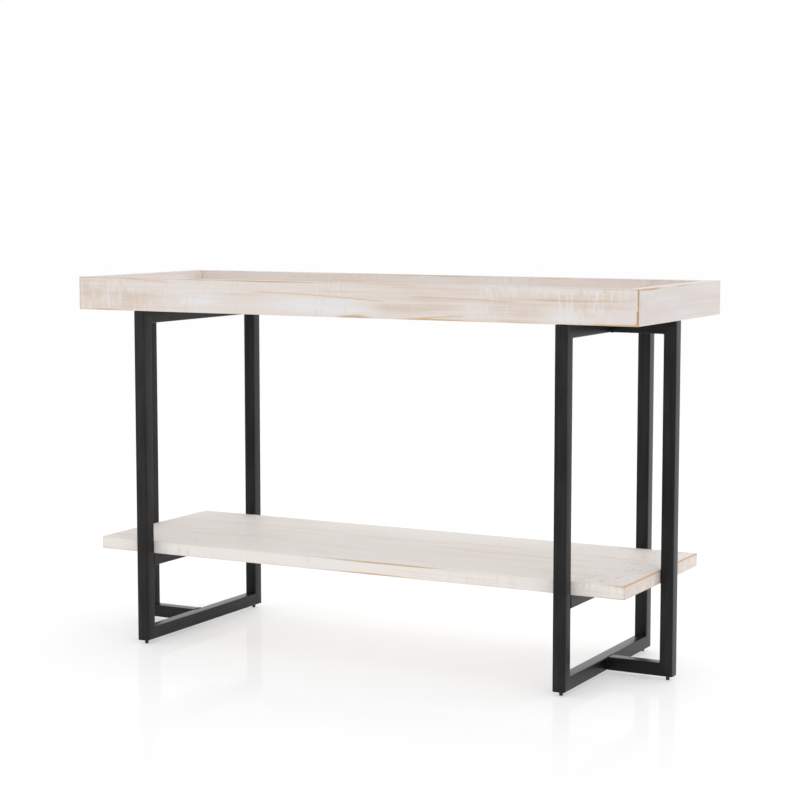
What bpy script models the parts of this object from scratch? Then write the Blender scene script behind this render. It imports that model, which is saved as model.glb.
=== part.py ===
# Console table: a tray top and a lower shelf of whitewashed wood on a frame of black square tube.
# Metres, +Z up. The origin is on the floor, under the middle of the tray.
# X runs along the table, -Y is its front.

from math import cos, pi, sin, sqrt

import bmesh
import bpy
from mathutils import Matrix, Vector

# Driving dimensions
TABLE_LENGTH = 1.200
TABLE_DEPTH = 0.430
TABLE_HEIGHT = 0.737
FIT_GAP = 0.0003                # left between pieces that touch

RIM_HEIGHT = 0.065
RIM_THICKNESS = 0.030
TRAY_FLOOR_THICKNESS = 0.018
SHELF_THICKNESS = 0.025
SHELF_UNDERSIDE = 0.183
SHELF_SIDE_GAP = 0.0008         # the shelf drops in between the legs
WOOD_ARRIS = 0.0012             # chamfer on the boards' long edges

TUBE = 0.025                    # square tube, outside
TUBE_WALL = 0.0015
TUBE_CORNER = 0.0020            # outside corner radius
FRAME_OUTER_X = 0.467           # outer face of the rectangular frames
END_LEG_OUTER_X = 0.5955        # outer face of the end legs

FOOT_GAP = 0.0005               # between a foot pad screwed right in and its bar
FOOT_HEIGHT = 0.0080            # floor to the bars' undersides
FOOT_TOP_RADIUS = 0.0040
FOOT_BOTTOM_RADIUS = 0.0034
FOOT_EDGE = 0.0005
STEM_RADIUS = 0.0025
STEM_TIP_TAPER = 0.0008
STEM_TOP = 0.0300               # height of the stem's tip above the floor
STEM_SEAT = 0.0025              # height of the stem's lower end inside the pad
RUNNING_GAP = 0.0004            # round the stem in its nut, pad and hole
NUT_ACROSS_FLATS = 0.0080
NUT_HEIGHT = 0.0040

BOLT_RADIUS = 0.0030
BOLT_HEAD_RADIUS = 0.0055
BOLT_HEAD_HEIGHT = 0.0033
BOLT_HEAD_EDGE = 0.0012
BOLT_REACH = 0.0115             # how far a bolt goes into the wood
SOCKET_ACROSS_FLATS = 0.0040
SOCKET_DEPTH = 0.0020
BOLT_HOLE_RADIUS = 0.0035       # in the upper wall of a tube
BOLT_ACCESS_RADIUS = 0.0070     # in its lower wall, where the head and the key go in
INSERT_RADIUS = 0.0046
INSERT_LENGTH = 0.0120
INSERT_HOLE_DEPTH = 0.0135
TOP_BOLT_Y = 0.140
SHELF_BOLT_Y = 0.120

ROUND_STEPS = 12                # flats round each small turned piece

# Worked out from them
HALF_TUBE = TUBE / 2
TRAY_UNDERSIDE = TABLE_HEIGHT - RIM_HEIGHT
BAR_UNDERSIDE = FOOT_HEIGHT
BOTTOM_LINE = BAR_UNDERSIDE + HALF_TUBE             # centre line of the bars at the floor
TOP_LINE = TRAY_UNDERSIDE - FIT_GAP - HALF_TUBE     # centre line of the bars under the tray
SHELF_LINE = SHELF_UNDERSIDE - FIT_GAP - HALF_TUBE  # centre line of the shelf bars
FRAME_X = FRAME_OUTER_X - HALF_TUBE
END_LEG_X = END_LEG_OUTER_X - HALF_TUBE
LEG_Y = TABLE_DEPTH / 2 - HALF_TUBE
SHELF_LENGTH = 2 * (END_LEG_OUTER_X - TUBE - SHELF_SIDE_GAP)
SHELF_DEPTH = TABLE_DEPTH - 2 * (TUBE + SHELF_SIDE_GAP)
PAD_TOP = FOOT_HEIGHT - FOOT_GAP
MITRE_TRIM = FIT_GAP / 2 * sqrt(2)                  # shortens a mitred end to leave the gap

SIDES = {"left": -1, "right": 1}

X = Vector((1, 0, 0))
Y = Vector((0, 1, 0))
Z = Vector((0, 0, 1))


# Scene, collections and materials

def clear_scene():
    for obj in list(bpy.data.objects):
        bpy.data.objects.remove(obj, do_unlink=True)


def new_collection(name):
    collection = bpy.data.collections.new(name)
    bpy.context.scene.collection.children.link(collection)
    return collection


def new_material(name, colour, roughness, metallic=0.0):
    material = bpy.data.materials.new(name)
    material.use_nodes = True
    shader = material.node_tree.nodes["Principled BSDF"]
    shader.inputs["Base Color"].default_value = (*colour, 1.0)
    shader.inputs["Roughness"].default_value = roughness
    shader.inputs["Metallic"].default_value = metallic
    material.diffuse_color = (*colour, 1.0)
    return material


clear_scene()
TABLE = new_collection("console_table")
CUTTERS = new_collection("cutters")
WOOD = new_material("whitewashed_wood", (0.70, 0.64, 0.59), 0.65)
BLACK_STEEL = new_material("black_steel", (0.028, 0.028, 0.030), 0.45)
ZINC_STEEL = new_material("zinc_steel", (0.55, 0.55, 0.56), 0.35, 1.0)
BLACK_BOLT = new_material("black_bolt", (0.03, 0.03, 0.03), 0.40)
NYLON = new_material("black_nylon", (0.025, 0.025, 0.025), 0.55)


# Objects and shapes

def add_object(name, mesh, material, location=(0, 0, 0), collection=TABLE, parent=None):
    if material and not mesh.materials:
        mesh.materials.append(material)
    obj = bpy.data.objects.new(name, mesh)
    obj.location = location
    collection.objects.link(obj)
    if parent:
        obj.parent = parent
        obj.location = Vector(location) - parent.location
    return obj


def mesh_from(bm, name):
    bmesh.ops.recalc_face_normals(bm, faces=bm.faces)
    mesh = bpy.data.meshes.new(name)
    bm.to_mesh(mesh)
    bm.free()
    return mesh


def finished_mesh(obj, name):
    # The object's evaluated shape as a plain mesh; the working object is removed.
    bpy.context.view_layer.update()
    graph = bpy.context.evaluated_depsgraph_get()
    mesh = bpy.data.meshes.new_from_object(obj.evaluated_get(graph))
    mesh.name = name
    bm = bmesh.new()
    bm.from_mesh(mesh)
    bmesh.ops.remove_doubles(bm, verts=bm.verts, dist=0.00001)
    bm.to_mesh(mesh)
    bm.free()
    bpy.data.objects.remove(obj, do_unlink=True)
    mesh.shade_smooth()
    mesh.set_sharp_from_angle(angle=pi / 6)
    return mesh


def turned_mesh(name, profile, closed=False):
    # Turns a profile of (radius, height) points, listed down the outer side, round Z.
    # A closed profile makes a ring, an open one starts and ends on the axis.
    mesh = bpy.data.meshes.new(name)
    edges = [(i, i + 1) for i in range(len(profile) - 1)]
    if closed:
        edges.append((len(profile) - 1, 0))
    mesh.from_pydata([(radius, 0, height) for radius, height in profile], edges, [])
    obj = add_object(name, mesh, None)
    screw = obj.modifiers.new("turn", "SCREW")
    screw.axis = "Z"
    screw.steps = ROUND_STEPS
    screw.render_steps = ROUND_STEPS
    screw.use_merge_vertices = True
    screw.merge_threshold = 0.00001
    return finished_mesh(obj, name)


def ring_points(count, radius):
    return [(radius * cos(2 * pi * i / count), radius * sin(2 * pi * i / count)) for i in range(count)]


def flat_mesh(name, outlines, thickness):
    # A plate with its lower face at z = 0: the first outline is its edge, the others are holes.
    curve = bpy.data.curves.new(name, "CURVE")
    curve.dimensions = "2D"
    curve.fill_mode = "BOTH"
    curve.extrude = thickness / 2
    for outline in outlines:
        spline = curve.splines.new("POLY")
        spline.points.add(len(outline) - 1)
        for point, (x, y) in zip(spline.points, outline):
            point.co = (x, y, 0, 1)
        spline.use_cyclic_u = True
    mesh = finished_mesh(add_object(name, curve, None), name)
    mesh.transform(Matrix.Translation(Z * thickness / 2))
    return mesh


def drill(target, points, radius, bottom, top, sides=ROUND_STEPS):
    # Upright round holes at the (x, y) points, from height bottom to height top.
    bm = bmesh.new()
    for x, y in points:
        place = Matrix.Translation((x, y, (bottom + top) / 2))
        bmesh.ops.create_cone(bm, cap_ends=True, segments=sides, radius1=radius, radius2=radius,
                              depth=top - bottom, matrix=place)
    name = target.name + "_drill"
    cutter = add_object(name, mesh_from(bm, name), None, collection=CUTTERS)
    cutter.hide_render = True
    cutter.display_type = "WIRE"
    hole = target.modifiers.new("holes", "BOOLEAN")
    hole.operation = "DIFFERENCE"
    hole.solver = "EXACT"
    hole.object = cutter


def drill_for_bolts(bar, points, line):
    # A close hole in the upper wall of a bar, and a wide one below it that lets the bolt's head in.
    drill(bar, points, BOLT_HOLE_RADIUS, line, line + TUBE)
    drill(bar, points, BOLT_ACCESS_RADIUS, line - TUBE, line)


# Wood

def board(name, size, location, mitred_along=None):
    # A board with small chamfers. mitred_along 0 or 1 cuts both ends of that axis at 45 degrees,
    # with the long side on the board's -Y or -X side, which is turned outwards by its placing.
    bm = bmesh.new()
    bmesh.ops.create_cube(bm, size=1.0)
    bmesh.ops.scale(bm, vec=size, verts=bm.verts)
    along = mitred_along
    if along is None:
        edges = bm.edges[:]
    else:
        edges = [e for e in bm.edges if abs(e.verts[0].co[along] - e.verts[1].co[along]) > size[along] / 2]
    bmesh.ops.bevel(bm, geom=edges, offset=WOOD_ARRIS, segments=1, affect="EDGES")
    if along is not None:
        across = 1 - along
        for vert in bm.verts:
            inset = vert.co[across] + size[across] / 2 + MITRE_TRIM
            vert.co[along] -= inset if vert.co[along] > 0 else -inset
    return add_object(name, mesh_from(bm, name), WOOD, location)


def rim_board(name, length, location, turn):
    size = (length, RIM_THICKNESS, RIM_HEIGHT)
    rim = board(name, size, location, mitred_along=0)
    rim.rotation_euler.z = turn
    return rim


def tray():
    middle = TABLE_HEIGHT - RIM_HEIGHT / 2
    y = TABLE_DEPTH / 2 - RIM_THICKNESS / 2
    x = TABLE_LENGTH / 2 - RIM_THICKNESS / 2
    rim_board("rim_front", TABLE_LENGTH, (0, -y, middle), 0)
    rim_board("rim_back", TABLE_LENGTH, (0, y, middle), pi)
    rim_board("rim_left", TABLE_DEPTH, (-x, 0, middle), -pi / 2)
    rim_board("rim_right", TABLE_DEPTH, (x, 0, middle), pi / 2)

    inside = 2 * (RIM_THICKNESS + FIT_GAP)
    size = (TABLE_LENGTH - inside, TABLE_DEPTH - inside, TRAY_FLOOR_THICKNESS)
    panel = board("tray_floor", size, (0, 0, TRAY_UNDERSIDE + TRAY_FLOOR_THICKNESS / 2))
    drill(panel, top_bolt_points(), INSERT_RADIUS + FIT_GAP, TRAY_UNDERSIDE - TUBE,
          TRAY_UNDERSIDE + INSERT_HOLE_DEPTH)


def shelf():
    size = (SHELF_LENGTH, SHELF_DEPTH, SHELF_THICKNESS)
    plank = board("shelf", size, (0, 0, SHELF_UNDERSIDE + SHELF_THICKNESS / 2))
    drill(plank, shelf_bolt_points(), INSERT_RADIUS + FIT_GAP, SHELF_UNDERSIDE - TUBE,
          SHELF_UNDERSIDE + INSERT_HOLE_DEPTH)


# Steel frame

def square_tube(name, start, end, outward, mitred_start=False, mitred_end=False):
    # A tube along the line from start to end. A mitred end is cut at 45 degrees through that
    # point, with the long side on the outward side.
    start = Vector(start)
    end = Vector(end)
    along = (end - start).normalized()
    length = (end - start).length

    bm = bmesh.new()
    bmesh.ops.create_cube(bm, size=1.0)
    bmesh.ops.scale(bm, vec=(TUBE, TUBE, length), verts=bm.verts)
    open_ends = [f for f in bm.faces if abs(f.normal.z) > 0.5]
    bmesh.ops.delete(bm, geom=open_ends, context="FACES_ONLY")
    arrises = [e for e in bm.edges if abs(e.verts[0].co.z - e.verts[1].co.z) > length / 2]
    bmesh.ops.bevel(bm, geom=arrises, offset=TUBE_CORNER, segments=2, profile=0.5, affect="EDGES")
    bmesh.ops.solidify(bm, geom=bm.faces[:], thickness=TUBE_WALL)
    for vert in bm.verts:
        if vert.co.z > 0 and mitred_end:
            vert.co.z += vert.co.y - MITRE_TRIM
        elif vert.co.z < 0 and mitred_start:
            vert.co.z -= vert.co.y - MITRE_TRIM

    tube = add_object(name, mesh_from(bm, name), BLACK_STEEL, (start + end) / 2)
    turn = Matrix((Vector(outward).cross(along), outward, along)).transposed()
    tube.rotation_euler = turn.to_euler()
    return tube


def end_frame(side, direction):
    # The rectangle of two legs and two bars, with the bar that carries the shelf.
    x = direction * FRAME_X
    front_low = (x, -LEG_Y, BOTTOM_LINE)
    back_low = (x, LEG_Y, BOTTOM_LINE)
    front_high = (x, -LEG_Y, TOP_LINE)
    back_high = (x, LEG_Y, TOP_LINE)
    square_tube(side + "_front_leg", front_low, front_high, -Y, True, True)
    square_tube(side + "_back_leg", back_low, back_high, Y, True, True)
    bottom_bar = square_tube(side + "_bottom_bar", front_low, back_low, -Z, True, True)
    top_bar = square_tube(side + "_top_bar", front_high, back_high, Z, True, True)
    shelf_bar_y = LEG_Y - HALF_TUBE - FIT_GAP
    shelf_bar = square_tube(side + "_shelf_bar", (x, -shelf_bar_y, SHELF_LINE),
                            (x, shelf_bar_y, SHELF_LINE), Z)

    drill_for_bolts(top_bar, [(x, -TOP_BOLT_Y), (x, TOP_BOLT_Y)], TOP_LINE)
    drill_for_bolts(shelf_bar, [(x, -SHELF_BOLT_Y), (x, SHELF_BOLT_Y)], SHELF_LINE)
    drill(bottom_bar, [(x, -LEG_Y), (x, LEG_Y)], STEM_RADIUS + RUNNING_GAP,
          BAR_UNDERSIDE - HALF_TUBE, BAR_UNDERSIDE + 2 * TUBE_WALL)


def end_outrigger(side, direction):
    # The single leg at mid depth and the two short bars that join it to the frame.
    inner = direction * (FRAME_OUTER_X + FIT_GAP)
    x = direction * END_LEG_X
    low = (x, 0, BOTTOM_LINE)
    high = (x, 0, TOP_LINE)
    square_tube(side + "_end_leg", low, high, direction * X, True, True)
    bottom_bar = square_tube(side + "_end_bottom_bar", (inner, 0, BOTTOM_LINE), low, -Z, False, True)
    top_bar = square_tube(side + "_end_top_bar", (inner, 0, TOP_LINE), high, Z, False, True)
    drill_for_bolts(top_bar, [(end_bolt_x(direction), 0)], TOP_LINE)
    drill(bottom_bar, [(x, 0)], STEM_RADIUS + RUNNING_GAP,
          BAR_UNDERSIDE - HALF_TUBE, BAR_UNDERSIDE + 2 * TUBE_WALL)


# Fasteners

def end_bolt_x(direction):
    return direction * (FRAME_OUTER_X + END_LEG_X - HALF_TUBE) / 2


def side_bolts(side, direction):
    # Name and (x, y) of the bolts under the tray, then of those under the shelf.
    x = direction * FRAME_X
    under_tray = {side + "_front_top": (x, -TOP_BOLT_Y),
                  side + "_back_top": (x, TOP_BOLT_Y),
                  side + "_end_top": (end_bolt_x(direction), 0)}
    under_shelf = {side + "_front_shelf": (x, -SHELF_BOLT_Y),
                   side + "_back_shelf": (x, SHELF_BOLT_Y)}
    return under_tray, under_shelf


def top_bolt_points():
    return [point for side in SIDES for point in side_bolts(side, SIDES[side])[0].values()]


def shelf_bolt_points():
    return [point for side in SIDES for point in side_bolts(side, SIDES[side])[1].values()]


def bolt_mesh():
    # A button-head bolt with a hexagon socket. z = 0 is under its head, and it points up.
    head = -BOLT_HEAD_HEIGHT
    tip = TUBE_WALL + FIT_GAP + BOLT_REACH
    profile = [(0, tip), (BOLT_RADIUS - FIT_GAP, tip), (BOLT_RADIUS, tip - FIT_GAP * 2),
               (BOLT_RADIUS, 0), (BOLT_HEAD_RADIUS, 0), (BOLT_HEAD_RADIUS, head + BOLT_HEAD_EDGE * 1.8),
               (BOLT_HEAD_RADIUS - BOLT_HEAD_EDGE, head + BOLT_HEAD_EDGE / 2),
               (BOLT_HEAD_RADIUS / 2, head), (0, head)]
    blank = add_object("bolt_blank", turned_mesh("bolt_blank", profile), None)
    socket_radius = SOCKET_ACROSS_FLATS / sqrt(3)
    drill(blank, [(0, 0)], socket_radius, head - SOCKET_DEPTH, head + SOCKET_DEPTH, sides=6)
    return finished_mesh(blank, "button_head_bolt")


def ring_mesh(name, outer_radius, inner_radius, length):
    return turned_mesh(name, [(outer_radius, length), (outer_radius, 0),
                              (inner_radius, 0), (inner_radius, length)], closed=True)


def bolts_and_inserts():
    bolt = bolt_mesh()
    insert = ring_mesh("threaded_insert", INSERT_RADIUS, BOLT_RADIUS + RUNNING_GAP, INSERT_LENGTH)
    for side, direction in SIDES.items():
        under_tray, under_shelf = side_bolts(side, direction)
        for points, underside in ((under_tray, TRAY_UNDERSIDE), (under_shelf, SHELF_UNDERSIDE)):
            head_face = underside - FIT_GAP - TUBE_WALL - FIT_GAP
            for name, (x, y) in points.items():
                add_object(name + "_bolt", bolt, BLACK_BOLT, (x, y, head_face))
                add_object(name + "_insert", insert, ZINC_STEEL, (x, y, underside + FIT_GAP))


# Levelling feet

def foot_places():
    # Name and (x, y) of each foot: one under each leg.
    for side, direction in SIDES.items():
        yield side + "_front", direction * FRAME_X, -LEG_Y
        yield side + "_back", direction * FRAME_X, LEG_Y
        yield side + "_end", direction * END_LEG_X, 0


def foot_pad_mesh():
    # A tapered stub with a blind bore in its top for the stem. z = 0 is the floor.
    bore = STEM_RADIUS + RUNNING_GAP
    seat = STEM_SEAT - FIT_GAP
    profile = [(0, seat), (bore, seat), (bore, PAD_TOP), (FOOT_TOP_RADIUS, PAD_TOP),
               (FOOT_BOTTOM_RADIUS + FOOT_EDGE / 2, FOOT_EDGE), (FOOT_BOTTOM_RADIUS - FOOT_EDGE, 0), (0, 0)]
    return turned_mesh("foot_pad", profile)


def foot_stem_mesh():
    profile = [(0, STEM_TOP), (STEM_RADIUS - STEM_TIP_TAPER, STEM_TOP),
               (STEM_RADIUS, STEM_TOP - STEM_TIP_TAPER), (STEM_RADIUS, STEM_SEAT), (0, STEM_SEAT)]
    return turned_mesh("foot_stem", profile)


def foot_nut_mesh():
    outline = ring_points(6, NUT_ACROSS_FLATS / sqrt(3))
    bore = ring_points(ROUND_STEPS, STEM_RADIUS + RUNNING_GAP)
    return flat_mesh("foot_nut", [outline, bore], NUT_HEIGHT)


def levelling_feet():
    # Pad and stem hang from an empty on the screw's axis; the nut stays in the bar.
    pad = foot_pad_mesh()
    stem = foot_stem_mesh()
    nut = foot_nut_mesh()
    nut_height = BAR_UNDERSIDE + TUBE_WALL + FIT_GAP
    for name, x, y in foot_places():
        screw_axis = add_axis(name + "_foot_axis", (x, y, 0))
        add_object(name + "_foot_pad", pad, NYLON, (x, y, 0), parent=screw_axis)
        add_object(name + "_foot_stem", stem, ZINC_STEEL, (x, y, 0), parent=screw_axis)
        add_object(name + "_foot_nut", nut, ZINC_STEEL, (x, y, nut_height))


def add_axis(name, location):
    empty = bpy.data.objects.new(name, None)
    empty.location = location
    empty.empty_display_size = TUBE
    TABLE.objects.link(empty)
    return empty


tray()
shelf()
for side_name, side_direction in SIDES.items():
    end_frame(side_name, side_direction)
    end_outrigger(side_name, side_direction)
bolts_and_inserts()
levelling_feet()
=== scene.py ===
import math

import bmesh
import bpy
import numpy as np
from mathutils import Matrix, Vector


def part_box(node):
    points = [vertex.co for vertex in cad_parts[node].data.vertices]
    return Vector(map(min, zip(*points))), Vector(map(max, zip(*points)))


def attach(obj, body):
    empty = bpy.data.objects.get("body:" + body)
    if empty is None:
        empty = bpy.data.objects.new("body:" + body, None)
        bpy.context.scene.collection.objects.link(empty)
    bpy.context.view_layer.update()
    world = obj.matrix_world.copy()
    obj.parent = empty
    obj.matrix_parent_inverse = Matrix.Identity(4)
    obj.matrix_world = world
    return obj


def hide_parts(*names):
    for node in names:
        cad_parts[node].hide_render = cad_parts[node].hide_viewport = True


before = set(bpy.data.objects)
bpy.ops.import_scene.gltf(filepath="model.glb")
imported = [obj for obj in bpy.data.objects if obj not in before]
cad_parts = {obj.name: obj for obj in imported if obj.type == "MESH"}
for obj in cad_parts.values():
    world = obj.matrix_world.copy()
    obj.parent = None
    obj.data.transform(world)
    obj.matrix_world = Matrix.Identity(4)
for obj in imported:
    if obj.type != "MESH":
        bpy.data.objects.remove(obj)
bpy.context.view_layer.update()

print("frame loaded:", len(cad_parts), "nodes")

tableBody = "table"
sideTurns = {"left": -1, "right": 1}
axisX = Vector((1, 0, 0))
axisY = Vector((0, 1, 0))
axisZ = Vector((0, 0, 1))


def newObject(name, data):
    made = bpy.data.objects.new(name, data)
    bpy.context.scene.collection.objects.link(made)
    return made


def bakedMesh(made):
    # what this object's modifier makes, as a plain mesh
    bpy.context.view_layer.update()
    graph = bpy.context.evaluated_depsgraph_get()
    return bpy.data.meshes.new_from_object(made.evaluated_get(graph))


def pointsOf(mesh):
    points = np.zeros(len(mesh.vertices) * 3)
    mesh.vertices.foreach_get("co", points)
    return points.reshape(-1, 3)


def addNode(tree, kind, inputs=None, **settings):
    node = tree.nodes.new(kind)
    for name, value in settings.items():
        setattr(node, name, value)
    for name, value in (inputs or {}).items():
        socket = node.inputs[name]
        if isinstance(value, bpy.types.NodeSocket):
            tree.links.new(value, socket)
        else:
            socket.default_value = value
    return node


def result(tree, kind, inputs=None, **settings):
    return addNode(tree, kind, inputs, **settings).outputs[0]


def maths(tree, operation, first, second=0.0, clamp=False):
    return result(tree, "ShaderNodeMath", {0: first, 1: second}, operation=operation, use_clamp=clamp)


def add(tree, first, second):
    return maths(tree, "ADD", first, second)


def minus(tree, first, second):
    return maths(tree, "SUBTRACT", first, second)


def times(tree, first, second):
    return maths(tree, "MULTIPLY", first, second)


def divide(tree, first, second, clamp=False):
    return maths(tree, "DIVIDE", first, second, clamp)


def vectorMaths(tree, operation, first, second):
    return result(tree, "ShaderNodeVectorMath", {0: first, 1: second}, operation=operation)


def ramp(tree, value, low, high, toLow=0.0, toHigh=1.0):
    # smooth step from toLow to toHigh as value goes from low to high
    return result(tree, "ShaderNodeMapRange", {"Value": value, "From Min": low, "From Max": high,
                  "To Min": toLow, "To Max": toHigh}, interpolation_type="SMOOTHSTEP")


def noise(tree, place, stretch, seed=0.0, detail=2.0, roughness=0.5):
    # stretch is the number of blotches per metre along each axis of place
    spot = vectorMaths(tree, "ADD", vectorMaths(tree, "MULTIPLY", place, stretch), (seed, seed * 1.7, -seed))
    return result(tree, "ShaderNodeTexNoise", {"Vector": spot, "Scale": 1.0, "Detail": detail,
                  "Roughness": roughness})


def mixColour(tree, factor, first, second, blend="MIX"):
    node = tree.nodes.new("ShaderNodeMix")
    node.data_type = "RGBA"
    node.blend_type = blend
    for index, value in ((0, factor), (6, first), (7, second)):
        if isinstance(value, bpy.types.NodeSocket):
            tree.links.new(value, node.inputs[index])
        else:
            node.inputs[index].default_value = value
    return node.outputs[2]


def colour(red, green, blue):
    # linear colour from the 0 to 255 values of a colour picker
    def linear(value):
        value /= 255
        return value / 12.92 if value <= 0.04045 else ((value + 0.055) / 1.055) ** 2.4
    return (linear(red), linear(green), linear(blue), 1.0)


def newMaterial(name):
    material = bpy.data.materials.new(name)
    material.use_nodes = True
    tree = material.node_tree
    shader = tree.nodes["Principled BSDF"]
    return material, tree, shader


def addBump(tree, shader, height, distance, strength=1.0):
    bump = addNode(tree, "ShaderNodeBump", {"Height": height, "Distance": distance, "Strength": strength})
    tree.links.new(bump.outputs[0], shader.inputs["Normal"])


woodLook = dict(
    cream=colour(226, 217, 211),
    beige=colour(216, 200, 188),
    cool=colour(229, 228, 229),
    ochre=colour(205, 168, 124),
    crack=colour(184, 146, 100),
    paintedShadeTint=(0.80, 0.81, 0.83, 1.0),      # painted shade: multiplies the colour where the shade is painted on
    roughness=0.50,
    gloss=0.06,
    blotches=(7.0, 45.0, 45.0),            # per metre along the board, across it and through it
    streaks=(3.0, 150.0, 150.0),
    fibres=(9.0, 420.0, 420.0),
    sawLines=(150.0, 38.0, 38.0),
    blotchTone=1.5,
    streakTone=2.4,
    fibreTone=0.13,
    sawTone=0.55,
    wearDepth=0.0022,                      # how far in from an edge the most worn places reach
)
# the panels' wash is whiter and less warm than the rims': partly its own tone, partly painted light standing
# in for the floor's bounce on the shelf front
panelLook = dict(
    woodLook,
    cream=colour(237, 231, 225),
    beige=colour(225, 212, 203),
    cool=colour(233, 232, 231),
    sawTone=0.44,
)


def whitewashedWood(name, look):
    # reads what woodBoard writes on each board: grain, arris, wear, crack, tone, sawn and the painted shade
    material, tree, shader = newMaterial(name)
    grain = addNode(tree, "ShaderNodeAttribute", attribute_name="grain").outputs["Vector"]
    arris, wear, crack, tone, sawn, paintedShade = [
        addNode(tree, "ShaderNodeAttribute", attribute_name=written).outputs["Fac"]
        for written in ("arris", "wear", "crack", "tone", "sawn", "paintedShade")]

    # beige where the wash is thin, cool white where it is thick
    blotch = minus(tree, noise(tree, grain, look["blotches"], 3.1, 3.0), 0.5)
    streak = minus(tree, noise(tree, grain, look["streaks"], 6.4, 4.0, 0.6), 0.5)
    washed = add(tree, times(tree, blotch, look["blotchTone"]), times(tree, streak, look["streakTone"]))
    washed = add(tree, tone, washed)
    base = mixColour(tree, ramp(tree, washed, 0.0, 0.9), look["cream"], look["beige"])
    base = mixColour(tree, ramp(tree, washed, 0.0, -0.9), base, look["cool"])

    # fine grain along the board, and patches of saw marks across it
    fibre = noise(tree, grain, look["fibres"], 7.7, 4.0, 0.6)
    base = mixColour(tree, ramp(tree, fibre, 0.35, 0.75, 0.0, look["fibreTone"]), base, look["beige"])
    saw = noise(tree, grain, look["sawLines"], 1.3, 1.0)
    sawLine = times(tree, ramp(tree, saw, 0.50, 0.68), sawn)
    base = mixColour(tree, times(tree, sawLine, look["sawTone"]), base, look["cool"])
    sawDip = times(tree, ramp(tree, saw, 0.48, 0.30), sawn)
    base = mixColour(tree, times(tree, sawDip, look["sawTone"]), base, look["beige"])

    # cracks with a stained halo
    rough = noise(tree, grain, (60.0, 500.0, 500.0), 9.0)
    ragged = times(tree, minus(tree, rough, 0.5), 0.5)
    gaping = add(tree, crack, times(tree, ragged, crack))
    base = mixColour(tree, ramp(tree, gaping, 0.02, 0.55, 0.0, 0.40), base, look["ochre"])
    base = mixColour(tree, ramp(tree, gaping, 0.45, 1.0, 0.0, 0.50), base, look["crack"])

    # bare ochre wood where the edges are worn
    frayed = add(tree, arris, times(tree, ragged, 0.0016))
    spare = minus(tree, times(tree, wear, look["wearDepth"]), frayed)
    worn = times(tree, ramp(tree, spare, -0.0007, 0.0009), ramp(tree, wear, 0.0, 0.9))
    base = mixColour(tree, times(tree, worn, 0.85), base, look["ochre"])
    # painted shade: darkens the broad faces, upper edges and sawn ends
    base = mixColour(tree, paintedShade, base, look["paintedShadeTint"], "MULTIPLY")
    tree.links.new(base, shader.inputs["Base Color"])

    sheen = add(tree, times(tree, fibre, 0.14), look["roughness"] - 0.07)
    tree.links.new(add(tree, sheen, times(tree, worn, 0.12)), shader.inputs["Roughness"])
    # the specular fades out where the shade is painted on
    chalky = ramp(tree, paintedShade, 0.0, 1.0, look["gloss"], 0.0)
    tree.links.new(chalky, shader.inputs["Specular IOR Level"])
    height = add(tree, times(tree, fibre, 0.30), times(tree, sawLine, 0.4))
    height = minus(tree, height, times(tree, crack, 0.8))
    addBump(tree, shader, height, 0.0003, 0.6)
    return material


coatLook = dict(
    base=colour(10, 10, 10),
    worn=colour(34, 34, 34),
    roughness=0.34,
    gloss=0.23,
    streaks=(420.0, 420.0, 5.0),     # per metre across and along a tube
    clouds=(30.0, 30.0, 9.0),
    pebbles=(1500.0, 1500.0, 1500.0),
)


def powderCoat(name, look):
    material, tree, shader = newMaterial(name)
    along = addNode(tree, "ShaderNodeAttribute", attribute_name="tubePlace").outputs["Vector"]
    streak = noise(tree, along, look["streaks"], 4.0, 3.0, 0.6)
    cloud = noise(tree, along, look["clouds"], 8.0, 2.0)
    shade = add(tree, times(tree, streak, 0.6), times(tree, cloud, 0.4))
    base = mixColour(tree, ramp(tree, shade, 0.40, 0.64), look["base"], look["worn"])
    tree.links.new(base, shader.inputs["Base Color"])
    shader.inputs["Specular IOR Level"].default_value = look["gloss"]
    rough = add(tree, times(tree, shade, 0.16), look["roughness"] - 0.08)
    tree.links.new(rough, shader.inputs["Roughness"])
    objectPlace = addNode(tree, "ShaderNodeTexCoord").outputs["Object"]
    pebble = noise(tree, objectPlace, look["pebbles"], 0.0, 2.0)
    addBump(tree, shader, pebble, 0.00006, 0.5)
    return material


def platedSteel(name, base, roughness):
    material, tree, shader = newMaterial(name)
    place = addNode(tree, "ShaderNodeTexCoord").outputs["Object"]
    dull = noise(tree, place, (260.0, 260.0, 260.0), 0.0, 3.0)
    tint = mixColour(tree, ramp(tree, dull, 0.3, 0.7), base, tuple(0.72 * c for c in base[:3]) + (1.0,))
    tree.links.new(tint, shader.inputs["Base Color"])
    shader.inputs["Metallic"].default_value = 1.0
    rough = add(tree, times(tree, dull, 0.2), roughness - 0.1)
    tree.links.new(rough, shader.inputs["Roughness"])
    addBump(tree, shader, dull, 0.00005, 0.4)
    return material


def blackPlastic(name, base, roughness, grainSize):
    material, tree, shader = newMaterial(name)
    place = addNode(tree, "ShaderNodeTexCoord").outputs["Object"]
    mottle = noise(tree, place, (grainSize, grainSize, grainSize), 0.0, 3.0)
    tint = mixColour(tree, mottle, base, tuple(1.5 * c for c in base[:3]) + (1.0,))
    tree.links.new(tint, shader.inputs["Base Color"])
    rough = add(tree, times(tree, mottle, 0.2), roughness - 0.1)
    tree.links.new(rough, shader.inputs["Roughness"])
    addBump(tree, shader, mottle, 0.00006, 0.5)
    return material


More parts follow.
